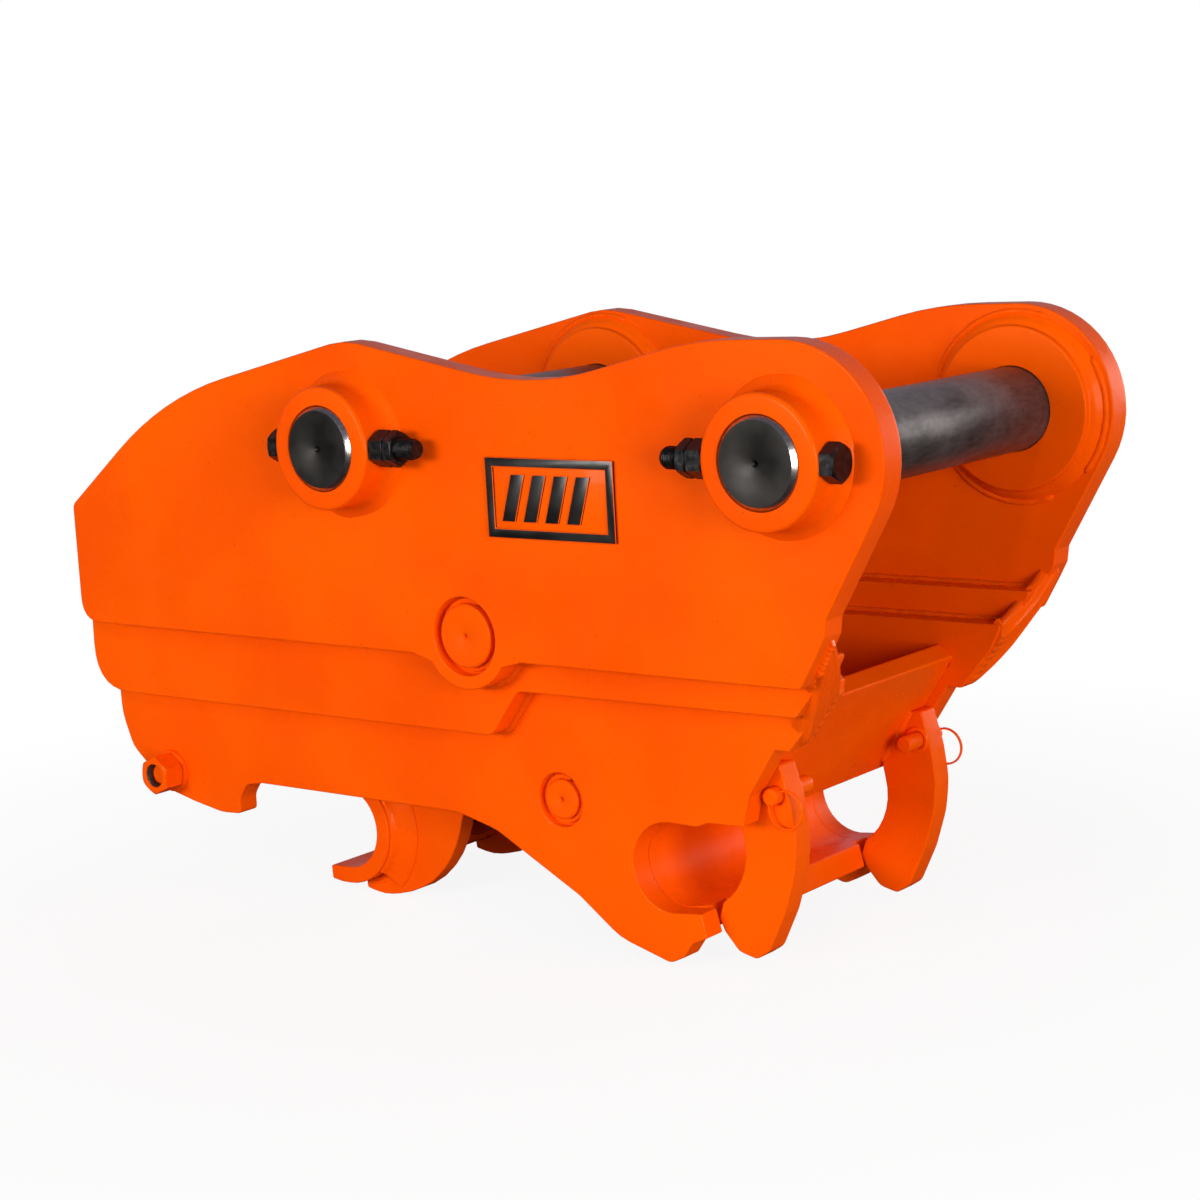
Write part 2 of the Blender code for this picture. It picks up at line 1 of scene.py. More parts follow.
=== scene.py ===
"""Looks of the excavator quick coupler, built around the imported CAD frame.

Helpers work in metres, in the frame's own axes: X towards the fixed front jaw, Y across (the near side
is -Y), Z up. Sizes are written in millimetres times MM. Plates are copies of the CAD plates with softened
edges; turned pieces, fasteners, weld beads, rings and the name plate are modelled here in more detail than
the CAD nodes.
"""
import json
import math

import bmesh
import bpy
from mathutils import Matrix, Vector, noise

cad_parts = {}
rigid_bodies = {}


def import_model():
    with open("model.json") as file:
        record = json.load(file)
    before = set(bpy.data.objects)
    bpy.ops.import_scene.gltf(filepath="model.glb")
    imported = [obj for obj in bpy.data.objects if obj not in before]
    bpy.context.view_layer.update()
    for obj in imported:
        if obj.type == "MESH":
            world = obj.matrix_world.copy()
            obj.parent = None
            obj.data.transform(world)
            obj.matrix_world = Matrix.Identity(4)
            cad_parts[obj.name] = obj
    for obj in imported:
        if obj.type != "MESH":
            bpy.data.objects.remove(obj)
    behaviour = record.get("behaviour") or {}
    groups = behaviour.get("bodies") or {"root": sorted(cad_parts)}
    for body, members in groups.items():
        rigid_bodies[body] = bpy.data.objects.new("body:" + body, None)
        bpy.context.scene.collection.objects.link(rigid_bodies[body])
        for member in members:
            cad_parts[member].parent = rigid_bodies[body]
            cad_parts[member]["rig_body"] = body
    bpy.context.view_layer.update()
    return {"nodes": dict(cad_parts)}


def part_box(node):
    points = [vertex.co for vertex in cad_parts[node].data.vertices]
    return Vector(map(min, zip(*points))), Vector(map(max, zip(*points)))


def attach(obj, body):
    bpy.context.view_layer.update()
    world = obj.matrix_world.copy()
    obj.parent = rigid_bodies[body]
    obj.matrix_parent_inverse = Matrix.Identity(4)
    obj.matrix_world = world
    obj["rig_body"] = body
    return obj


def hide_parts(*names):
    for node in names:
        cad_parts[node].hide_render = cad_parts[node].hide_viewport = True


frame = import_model()
NODES = frame["nodes"]
MM = 0.001
SIDES = (("near", -1), ("far", 1))
NUT_FLATS = 36 * MM
ROD_EYE = 72 * MM
LINER_R = 59.3 * MM
SEAT_R = 62.3 * MM


def centre_of(node):
    low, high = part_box(node)
    return (low + high) / 2


REAR_PIN = centre_of("arm_pin_rear")
FRONT_PIN = centre_of("arm_pin_front")
HOOK_PIN = centre_of("hook_pin")
BASE_PIN = centre_of("base_pin")
TIE = centre_of("tie_rod")
UPPER_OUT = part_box("upper_plate_far")[1].y
UPPER_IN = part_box("upper_plate_far")[0].y
MID_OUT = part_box("mid_plate_far")[1].y
MID_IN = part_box("mid_plate_far")[0].y
LOWER_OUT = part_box("lower_plate_far")[1].y
LOWER_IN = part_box("lower_plate_far")[0].y
PIN_R = (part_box("arm_pin_rear")[1].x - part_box("arm_pin_rear")[0].x) / 2


# ---------------------------------------------------------------- materials

class Look:
    """One material: a Principled shader with a few procedural layers."""

    def __init__(self, name, roughness=0.4, metallic=0.0, coat=0.0, coat_roughness=0.1):
        self.material = bpy.data.materials.new(name)
        self.material.use_nodes = True
        self.tree = self.material.node_tree
        self.shader = self.tree.nodes["Principled BSDF"]
        self.shader.inputs["Roughness"].default_value = roughness
        self.shader.inputs["Metallic"].default_value = metallic
        self.shader.inputs["Coat Weight"].default_value = coat
        self.shader.inputs["Coat Roughness"].default_value = coat_roughness
        self.place = self.node("ShaderNodeTexCoord").outputs["Object"]
        self.normal = None

    def node(self, kind, **inputs):
        made = self.tree.nodes.new(kind)
        for key, value in inputs.items():
            self.plug(made.inputs[key.replace("_", " ")], value)
        return made

    def plug(self, socket, value):
        if isinstance(value, bpy.types.NodeSocket):
            self.tree.links.new(value, socket)
        else:
            socket.default_value = value

    def noise(self, scale, detail=3.0, stretch=(1, 1, 1), rough=0.5):
        moved = self.node("ShaderNodeMapping", Vector=self.place, Scale=stretch)
        made = self.node("ShaderNodeTexNoise", Vector=moved.outputs[0], Scale=scale, Detail=detail,
                         Roughness=rough)
        return made.outputs["Fac"]

    def ramp(self, source, *stops):
        """Colours or greys at positions along a 0 to 1 source."""
        made = self.node("ShaderNodeValToRGB", Fac=source)
        points = made.color_ramp.elements
        while len(points) < len(stops):
            points.new(0.5)
        for point, (where, colour) in zip(points, stops):
            point.position = where
            value = colour if isinstance(colour, tuple) else (colour, colour, colour)
            point.color = (*value, 1.0)
        return made.outputs["Color"]

    def spread(self, source, low, high, start=0.35, end=0.65):
        made = self.node("ShaderNodeMapRange", Value=source)
        for key, value in (("From Min", start), ("From Max", end), ("To Min", low), ("To Max", high)):
            made.inputs[key].default_value = value
        return made.outputs[0]

    def mix(self, factor, first, second):
        made = self.tree.nodes.new("ShaderNodeMix")
        made.data_type = "RGBA"
        self.plug(made.inputs["Factor"], factor)
        self.plug(made.inputs["A"], first)
        self.plug(made.inputs["B"], second)
        return made.outputs["Result"]

    def bump(self, height, distance, strength=1.0):
        made = self.node("ShaderNodeBump", Height=height, Distance=distance, Strength=strength)
        if self.normal is not None:
            self.plug(made.inputs["Normal"], self.normal)
        self.normal = made.outputs["Normal"]

    def radial(self):
        """Distance from the piece's own Y axis."""
        parts = self.node("ShaderNodeSeparateXYZ", Vector=self.place)
        flat = self.node("ShaderNodeCombineXYZ", X=parts.outputs["X"], Z=parts.outputs["Z"])
        made = self.node("ShaderNodeVectorMath", Vector=flat.outputs[0])
        made.operation = "LENGTH"
        return made.outputs["Value"]

    def done(self, colour=None, roughness=None):
        if colour is not None:
            self.plug(self.shader.inputs["Base Color"], colour)
        if roughness is not None:
            self.plug(self.shader.inputs["Roughness"], roughness)
        if self.normal is not None:
            self.plug(self.shader.inputs["Normal"], self.normal)
        return self.material


ORANGE = (0.94, 0.099, 0.0)
ORANGE_DEEP = (0.89, 0.084, 0.0)
ORANGE_LIGHT = (0.97, 0.112, 0.0)
# SHADED: the orange darkened as if it lay in deep shade, a painted shade.
SHADED = (0.30, 0.022, 0.001)


def orange_paint(name, ripple, colours=(ORANGE_DEEP, ORANGE, ORANGE_LIGHT)):
    """Gloss enamel: slow colour drift, orange peel, and a faint waviness of the plate under it."""
    look = Look(name, coat=0.05, coat_roughness=0.05)
    look.shader.inputs["Specular IOR Level"].default_value = 0.10
    look.plug(look.shader.inputs["Specular Tint"], (1.0, 0.55, 0.30, 1.0))
    look.plug(look.shader.inputs["Coat Tint"], (1.0, 0.9, 0.8, 1.0))
    drift = look.ramp(look.noise(5.0, 4.0), *zip((0.36, 0.52, 0.68), colours))
    specks = look.spread(look.noise(420.0, 2.0), 0.0, 1.0, 0.72, 0.80)
    colour = look.mix(specks, drift, (0.42, 0.035, 0.001, 1.0))
    roughness = look.spread(look.noise(26.0, 5.0), 0.24, 0.38)
    look.bump(look.noise(9.0, 2.0), 0.9 * MM, 0.5)
    look.bump(look.noise(70.0, 3.0), 0.16 * MM * ripple)
    look.bump(look.noise(850.0, 2.0), 0.02 * MM)
    return look.done(colour, roughness)


def turned_steel():
    """Machined pin end: concentric tool marks, dark oiled patches."""
    look = Look("turned_steel", metallic=0.8)
    rings = look.node("ShaderNodeTexNoise", Scale=1.0, Detail=2.0)
    rings.noise_dimensions = "1D"
    reach = look.node("ShaderNodeMath", Value=look.radial())
    reach.operation = "MULTIPLY"
    reach.inputs[1].default_value = 2600.0
    look.plug(rings.inputs["W"], reach.outputs[0])
    patches = look.noise(28.0, 6.0)
    base = look.ramp(patches, (0.34, (0.019, 0.018, 0.017)), (0.62, (0.036, 0.034, 0.033)))
    colour = look.mix(look.spread(rings.outputs["Fac"], 0.0, 0.35), base, (0.048, 0.046, 0.045, 1.0))
    look.bump(rings.outputs["Fac"], 0.004 * MM)
    look.bump(look.noise(150.0, 4.0), 0.02 * MM)
    return look.done(colour, look.spread(look.noise(60.0, 4.0), 0.36, 0.50))


def bar_steel():
    """Ground bar between the plates: grey, with rub marks along and rolled patches."""
    look = Look("bar_steel", metallic=0.7)
    grain = look.noise(260.0, 4.0, (1.0, 0.22, 1.0))
    patches = look.noise(17.0, 8.0, (1.0, 0.9, 1.0), 0.7)
    base = look.ramp(patches, (0.36, (0.050, 0.046, 0.047)), (0.50, (0.095, 0.088, 0.090)),
                     (0.66, (0.20, 0.19, 0.19)))
    colour = look.mix(look.spread(grain, 0.0, 0.22), base, (0.26, 0.25, 0.25, 1.0))
    look.bump(grain, 0.015 * MM)
    look.bump(look.noise(110.0, 4.0), 0.03 * MM)
    return look.done(colour, look.spread(patches, 0.30, 0.44))


def bright_steel():
    look = Look("bright_chamfer", roughness=0.22, metallic=1.0)
    streaks = look.noise(300.0, 3.0)
    look.bump(streaks, 0.01 * MM)
    return look.done(look.ramp(streaks, (0.3, (0.42, 0.43, 0.45)), (0.7, (0.62, 0.63, 0.65))))


def black_oxide():
    look = Look("black_oxide", metallic=0.75)
    wear = look.noise(190.0, 4.0)
    colour = look.ramp(wear, (0.30, (0.010, 0.010, 0.011)), (0.60, (0.026, 0.026, 0.028)),
                       (0.80, (0.075, 0.073, 0.072)))
    look.bump(wear, 0.03 * MM)
    return look.done(colour, look.spread(wear, 0.28, 0.46))


def black_paint(name, level):
    look = Look(name, coat=0.15, coat_roughness=0.2)
    dust = look.noise(34.0, 6.0)
    colour = look.ramp(dust, (0.35, (level, level, level)), (0.72, (level * 2.6, level * 2.5, level * 2.3)))
    look.bump(look.noise(300.0, 3.0), 0.05 * MM)
    return look.done(colour, look.spread(dust, 0.34, 0.52))


def chrome():
    look = Look("rod_chrome", metallic=1.0)
    grain = look.noise(700.0, 2.0, (1.0, 0.1, 1.0))
    look.bump(grain, 0.004 * MM)
    colour = look.ramp(grain, (0.3, (0.50, 0.50, 0.52)), (0.7, (0.68, 0.68, 0.70)))
    return look.done(colour, look.spread(grain, 0.10, 0.2))


PAINT = orange_paint("orange_paint", 1.0)
# Painted shade: the cylinder rod's eye takes the orange darkened to SHADED, as if it sat in deep shade, not a
# primer.
EYE_PAINTED_SHADE = orange_paint("painted_shade_orange", 1.0, (SHADED, SHADED, (0.36, 0.028, 0.001)))
WELD = orange_paint("orange_weld", 5.0)
TURNED = turned_steel()
BAR = bar_steel()
BRIGHT = bright_steel()
OXIDE = black_oxide()
BLACK = black_paint("black_enamel", 0.012)
BADGE = black_paint("black_badge", 0.0025)
CHROME = chrome()


# ---------------------------------------------------------------- mesh helpers

def piece(name, mesh, materials, body, nodes=(), place=(0, 0, 0), sharp=35):
    """Puts a mesh in the scene as a piece that rides on a body and may stand for CAD nodes."""
    for item in materials:
        mesh.materials.append(item)
    mesh.shade_smooth()
    mesh.set_sharp_from_angle(angle=math.radians(sharp))
    made = bpy.data.objects.new(name, mesh)
    bpy.context.scene.collection.objects.link(made)
    made.location = place
    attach(made, body)
    if nodes:
        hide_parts(*nodes)
    return made


def body_of(node):
    return NODES[node]["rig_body"]


def mesh_from(shape, name):
    mesh = bpy.data.meshes.new(name)
    shape.to_mesh(mesh)
    shape.free()
    return mesh


def clean_shape(node):
    """A CAD node's mesh with its split corners joined and its flat faces whole."""
    shape = bmesh.new()
    shape.from_mesh(NODES[node].data)
    bmesh.ops.remove_doubles(shape, verts=shape.verts, dist=0.002 * MM)
    bmesh.ops.dissolve_limit(shape, angle_limit=math.radians(0.4), verts=shape.verts, edges=shape.edges)
    return shape


def soften(shape, width, steps):
    """Rounds every edge where the surface turns by more than 30 degrees."""
    turn = math.radians(30)
    edges = [e for e in shape.edges if len(e.link_faces) == 2 and e.calc_face_angle() > turn]
    bmesh.ops.bevel(shape, geom=edges, offset=width, offset_type="OFFSET", segments=steps, profile=0.5,
                    affect="EDGES", clamp_overlap=False)


def refined(node, width, material=PAINT, steps=3):
    """A CAD node redone with rounded edges; flat faces keep flat shading through weighted normals."""
    shape = clean_shape(node)
    soften(shape, width, steps)
    label = node + "_skin"
    made = piece(label, mesh_from(shape, label), [material], body_of(node), [node], sharp=50)
    level = made.modifiers.new("flat_shading", "WEIGHTED_NORMAL")
    level.keep_sharp = True
    level.weight = 100
    return made


def arc(centre, radius, start, end, count):
    """Points on an arc between two angles in degrees, both ends included."""
    turns = [math.radians(start + (end - start) * i / count) for i in range(count + 1)]
    return [(centre[0] + radius * math.cos(t), centre[1] + radius * math.sin(t)) for t in turns]


def fillet(points, radius, closed=True, steps=4):
    """Rounds the corners of a profile."""
    out = []
    for i, point in enumerate(points):
        here = Vector(point[:2])
        reach = point[2] if len(point) > 2 else radius
        if reach == 0 or (not closed and i in (0, len(points) - 1)):
            out.append(tuple(here))
            continue
        before = Vector(points[i - 1][:2]) - here
        after = Vector(points[(i + 1) % len(points)][:2]) - here
        first = here + before.normalized() * min(reach, before.length * 0.45)
        last = here + after.normalized() * min(reach, after.length * 0.45)
        for k in range(steps + 1):
            t = k / steps
            out.append(tuple(first * (1 - t) ** 2 + here * 2 * t * (1 - t) + last * t * t))
    return out


def skin(shape, rings, closed=False, slot=0):
    """Joins each ring of points to the next one with four-sided faces."""
    count = len(rings[0])
    pairs = list(zip(rings, rings[1:])) + ([(rings[-1], rings[0])] if closed else [])
    for low, high in pairs:
        for k in range(count):
            face = shape.faces.new([low[k], low[(k + 1) % count], high[(k + 1) % count], high[k]])
            face.material_index = slot


def cap(shape, rings):
    """Closes both ends of a run of rings."""
    for loop in (rings[0], rings[-1]):
        shape.faces.new(loop)


def add_lathe(shape, profile, side=1, segments=96, closed=True, wobble=None, centre=(0, 0, 0), slot=0):
    """Adds a turned solid about the Y axis; profile is (radius, y), and wobble may move its points."""
    rings = []
    for radius, y in profile:
        if radius == 0:
            rings.append([shape.verts.new((centre[0], centre[1] + side * y, centre[2]))] * segments)
            continue
        ring = []
        for k in range(segments):
            turn = math.tau * k / segments
            r, level = wobble(turn, radius, y) if wobble else (radius, y)
            ring.append(shape.verts.new((centre[0] + r * math.cos(turn), centre[1] + side * level,
                                         centre[2] + r * math.sin(turn))))
        rings.append(ring)
    pairs = list(zip(rings, rings[1:])) + ([(rings[-1], rings[0])] if closed else [])
    for low, high in pairs:
        for k in range(segments):
            corners = [low[k], low[(k + 1) % segments], high[(k + 1) % segments], high[k]]
            unique = list(dict.fromkeys(corners))
            if len(unique) > 2:
                shape.faces.new(unique).material_index = slot


def settle(shape):
    bmesh.ops.recalc_face_normals(shape, faces=shape.faces)
    return shape


def turned(shape, node, centre, sharp):
    """A painted turned piece that stands for a CAD node, with its own Y axis through a centre."""
    label = node + "_turned"
    mesh = mesh_from(settle(shape), label)
    piece(label, mesh, [PAINT], body_of(node), [node], place=(centre.x, 0, centre.z), sharp=sharp)


def hexagon_radius(turn, flats):
    """Distance from a hexagon's centre to its side at an angle."""
    within = (turn % (math.pi / 3)) - math.pi / 6
    return flats / 2 / math.cos(within)


def add_nut(shape, start, end, flats, hole, matrix, chamfer_start=True):
    """Adds a chamfered hexagon along local Z from start to end; a hole of 0 leaves it solid."""
    segments = 72
    crown = flats * 0.475
    fall = math.tan(math.radians(30))
    lead = 0.8 * MM if hole else 0
    inner = hole or flats * 0.02
    rings = []

    def ring(radius_at, level_at):
        points = []
        for k in range(segments):
            turn = math.tau * k / segments
            r = radius_at(turn)
            spot = Vector((r * math.cos(turn), r * math.sin(turn), level_at(r)))
            points.append(shape.verts.new(matrix @ spot))
        rings.append(points)

    ring(lambda t: inner, lambda r: start + lead)
    if hole:
        ring(lambda t: inner + lead, lambda r: start)
    ring(lambda t: crown, lambda r: start)
    drop = fall if chamfer_start else 0.0
    ring(lambda t: hexagon_radius(t, flats), lambda r: start + max(0.0, r - crown) * drop)
    ring(lambda t: hexagon_radius(t, flats), lambda r: end - max(0.0, r - crown) * fall)
    ring(lambda t: crown, lambda r: end)
    if hole:
        ring(lambda t: inner + lead, lambda r: end)
    ring(lambda t: inner, lambda r: end - lead)
    skin(shape, rings, bool(hole))
    if not hole:
        cap(shape, rings)


def add_thread(shape, start, end, radius, pitch, matrix):
    """Adds a threaded rod along local Z with a chamfered tip at its end."""
    segments = 32
    steps = int((end - start) / pitch * 6)
    rings = []
    for i in range(steps + 1):
        level = start + (end - start) * i / steps
        ring = []
        for k in range(segments):
            phase = (level / pitch - k / segments) % 1.0
            depth = 0.55 * pitch * abs(2 * phase - 1)
            tip = max(0.0, level - (end - 1.6 * pitch)) * 0.55
            r = min(radius - depth, radius - tip)
            turn = math.tau * k / segments
            ring.append(shape.verts.new(matrix @ Vector((r * math.cos(turn), r * math.sin(turn), level))))
        rings.append(ring)
    skin(shape, rings)
    cap(shape, rings)


def outline(node, side):
    """The longest edge loop of a plate's outward face, as (x, z) points in order."""
    shape = clean_shape(node)
    caps = {f for f in shape.faces if f.normal.y * side > 0.9}
    rim = [e for e in shape.edges if sum(f in caps for f in e.link_faces) == 1]
    following = {}
    for edge in rim:
        for a, b in (edge.verts, reversed(edge.verts)):
            following.setdefault(a, []).append(b)
    loops = []
    left = set(following)
    while left:
        first = min(left, key=lambda v: (v.co.x, v.co.z))
        loop = [first]
        left.discard(first)
        while True:
            ahead = [v for v in following[loop[-1]] if v in left]
            if not ahead:
                break
            loop.append(ahead[0])
            left.discard(ahead[0])
        loops.append([(v.co.x, v.co.z) for v in loop])
    shape.free()
    return max(loops, key=lambda points: max(p[0] for p in points) - min(p[0] for p in points))


def stretch(loop, keep):
    """The longest run of a closed loop whose points all pass the test."""
    count = len(loop)
    best = []
    run = []
    for i in range(2 * count):
        point = loop[i % count]
        if keep(*point):
            run.append(point)
        else:
            run = []
        if len(best) < len(run) <= count:
            best = list(run)
    return best


def even_points(points, step, closed=False):
    """Points spaced evenly along a polyline."""
    corners = [Vector(p) for p in points]
    if closed:
        corners.append(corners[0])
    lengths = [0.0]
    for a, b in zip(corners, corners[1:]):
        lengths.append(lengths[-1] + (b - a).length)
    count = max(2, int(lengths[-1] / step))
    out = []
    k = 0
    for i in range(count + (0 if closed else 1)):
        want = lengths[-1] * i / count
        while k < len(corners) - 2 and lengths[k + 1] < want:
            k += 1
        span = max(1e-9, lengths[k + 1] - lengths[k])
        out.append(corners[k].lerp(corners[k + 1], (want - lengths[k]) / span))
    return out


def add_bead(shape, path, radius, closed=False, seed=0.0, ripple=0.10):
    """Adds a weld bead along 3-D points: a rounded cord whose surface rises in overlapping scales."""
    step = 1.7 * MM
    pitch = 4.5 * MM
    points = even_points(path, step, closed)
    count = len(points)
    around = 10
    rings = []
    for i, point in enumerate(points):
        ahead = points[(i + 1) % count] if closed or i + 1 < count else point
        behind = points[i - 1] if closed or i > 0 else point
        along = (ahead - behind).normalized()
        across = along.cross(Vector((0, 1, 0)))
        across = across.normalized() if across.length > 1e-6 else Vector((1, 0, 0))
        third = across.cross(along)
        scale = (i * step / pitch) % 1.0
        swell = 1 + ripple * (scale - 0.5) + 0.22 * noise.noise(point / (14 * MM) + Vector((seed, 0, 0)))
        if not closed:
            swell *= min(1.0, 0.35 + min(i, count - 1 - i) * 0.22)
        ring = []
        for k in range(around):
            turn = math.tau * k / around
            offset = across * math.cos(turn) + third * math.sin(turn)
            ring.append(shape.verts.new(point + offset * radius * swell))
        rings.append(ring)
    skin(shape, rings, closed)
    if not closed:
        cap(shape, rings)


# ---------------------------------------------------------------- plates

def plates():
    for name, _ in SIDES:
        for node, width in (("upper_plate_", 1.8), ("mid_plate_", 1.6), ("lower_plate_", 1.6)):
            refined(node + name, width * MM)
        refined("hook_cheek_" + name, 1.6 * MM)
        refined("claw_" + name, 2.0 * MM)
    refined("hook_liner", 1.6 * MM)
    refined("jaw_seat", 0.5 * MM)
    refined("gate_plate", 1.2 * MM)
    refined("rear_bridge", 1.2 * MM)


# ---------------------------------------------------------------- pins and rings

def centre_drill(face, radius):
    """Profile of a pin's end face from its centre outwards, with a centre-drill hole."""
    return [(0.0, face - 7 * MM), (1.4 * MM, face - 6 * MM), (1.4 * MM, face - 3.0 * MM),
            (3.2 * MM, face - 0.2 * MM), (3.6 * MM, face), (radius, face)]


def arm_pins():
    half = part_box("arm_pin_rear")[1].y
    chamfer = 4 * MM
    for name, centre in (("rear", REAR_PIN), ("front", FRONT_PIN)):
        node = "arm_pin_" + name
        shape = bmesh.new()
        for side in (-1, 1):
            face = centre_drill(half, PIN_R - chamfer)
            add_lathe(shape, face, side, closed=False, slot=0)
            edge = [(PIN_R - chamfer, half), (PIN_R - 0.6 * MM, half - chamfer + 0.4 * MM),
                    (PIN_R, half - chamfer - 0.6 * MM)]
            add_lathe(shape, edge, side, closed=False, slot=1)
        shank = [(PIN_R, -half + chamfer + 0.6 * MM), (PIN_R, 0.0), (PIN_R, half - chamfer - 0.6 * MM)]
        add_lathe(shape, shank, 1, closed=False, slot=2)
        bmesh.ops.remove_doubles(shape, verts=shape.verts, dist=0.001 * MM)
        mesh = mesh_from(settle(shape), node + "_turned")
        piece(node + "_turned", mesh, [TURNED, BRIGHT, BAR], body_of(node), [node], centre, 28)


def weld_wobble(foot, seed, size=1.6 * MM):
    """Moves only the foot of a welded ring, by slow and fine noise round its circumference."""
    def move(turn, radius, y):
        if not foot(radius, y):
            return radius, y
        where = Vector((math.cos(turn) * 2.2, math.sin(turn) * 2.2, seed))
        fine = Vector((math.cos(turn) * 14, math.sin(turn) * 14, seed))
        return radius + size * noise.noise(where) + 0.45 * size * noise.noise(fine), y
    return move


def collars():
    for pin, centre in (("rear", REAR_PIN), ("front", FRONT_PIN)):
        for k, (name, side) in enumerate(SIDES):
            node = f"collar_{pin}_{name}"
            low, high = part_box(node)
            outer = max(abs(low.y), abs(high.y))
            radius = 58 * MM
            bore = PIN_R + 0.5 * MM
            foot = UPPER_OUT - 1 * MM
            profile = [(bore, foot, 0), (bore, outer, 0.8 * MM), (radius, outer, 4.5 * MM),
                       (radius, UPPER_OUT + 10 * MM, 9 * MM),
                       (radius + 11 * MM, UPPER_OUT + 0.6 * MM, 3 * MM), (radius + 12 * MM, foot, 0)]
            rounded = fillet(profile, 0, True, 6)
            shape = bmesh.new()
            wobble = weld_wobble(lambda r, y: r > radius + 0.5 * MM, k + (3 if pin == "front" else 0))
            add_lathe(shape, rounded, side, 120, True, wobble)
            turned(shape, node, centre, 40)


def inner_discs():
    for pin, centre in (("rear", REAR_PIN), ("front", FRONT_PIN)):
        for k, (name, side) in enumerate(SIDES):
            node = f"disc_{pin}_{name}"
            low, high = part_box(node)
            face = min(abs(low.y), abs(high.y))
            wall = UPPER_IN + 1 * MM
            radius = 78 * MM
            bore = PIN_R + 0.5 * MM
            profile = [(bore, wall, 0), (bore, face, 1.0 * MM), (radius, face, 2.5 * MM),
                       (radius, face + 6 * MM, 1.5 * MM), (radius + 5 * MM, face + 8.5 * MM, 2 * MM),
                       (radius + 11 * MM, wall - 1.8 * MM, 2 * MM), (radius + 11 * MM, wall, 0)]
            rounded = fillet(profile, 0, True, 5)
            shape = bmesh.new()
            wobble = weld_wobble(lambda r, y: r > radius + 1 * MM, 11 + k, 1.5 * MM)
            add_lathe(shape, rounded, side, 120, True, wobble)
            turned(shape, node, centre, 40)


def pivot_pins():
    for node, centre in (("hook_pin", HOOK_PIN), ("base_pin", BASE_PIN)):
        low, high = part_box(node)
        half = high.y
        radius = (high.x - low.x) / 2
        chamfer = 1.8 * MM
        shape = bmesh.new()
        for side in (-1, 1):
            face = centre_drill(half, radius - chamfer) + [(radius, half - chamfer)]
            add_lathe(shape, face, side, closed=False)
        add_lathe(shape, [(radius, -half + chamfer), (radius, half - chamfer)], 1, closed=False)
        bmesh.ops.remove_doubles(shape, verts=shape.verts, dist=0.001 * MM)
        turned(shape, node, centre, 28)
        for name, _ in SIDES:
            refined(f"circlip_{node}_{name}", 0.5 * MM, steps=2)


# ---------------------------------------------------------------- fasteners

def along_x(place, way):
    """A frame whose local Z points along X towards way."""
    turn = Matrix.Rotation(math.pi / 2 * way, 4, "Y")
    return Matrix.Translation(place) @ turn


def reach_of(node, centre):
    """Distances along X from a pin's centre to a node's nearer and further ends."""
    low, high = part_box(node)
    return sorted((abs(low.x - centre.x), abs(high.x - centre.x)))


def collar_bolts():
    thread = 10.2 * MM
    for pin, centre, way in (("rear", REAR_PIN, -1), ("front", FRONT_PIN, 1)):
        for name, _ in SIDES:
            label = f"{pin}_{name}"
            low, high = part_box("bolt_" + label)
            flats = high.z - low.z
            middle = Vector((centre.x, (low.y + high.y) / 2, centre.z))
            ends = ((low.x, high.x) if way > 0 else (high.x, low.x))
            tail_end, head_end = (abs(end - centre.x) for end in ends)
            seat, nut_end = reach_of("nut_" + label, centre)
            jam_start, jam_end = reach_of("jam_nut_" + label, centre)
            out = along_x(middle, way)
            back = along_x(middle, -way)
            shape = bmesh.new()
            add_nut(shape, seat, head_end, flats, 0, out, False)
            for start, end in ((seat, nut_end), (jam_start, jam_end)):
                add_nut(shape, start, end, flats, thread + 0.2 * MM, back)
            add_thread(shape, seat - 2 * MM, tail_end, thread, 2.5 * MM, back)
            mesh = mesh_from(settle(shape), "bolt_set_" + label)
            nodes = [kind + label for kind in ("bolt_", "nut_", "jam_nut_")]
            piece("bolt_set_" + label, mesh, [OXIDE], "frame", nodes, sharp=24)


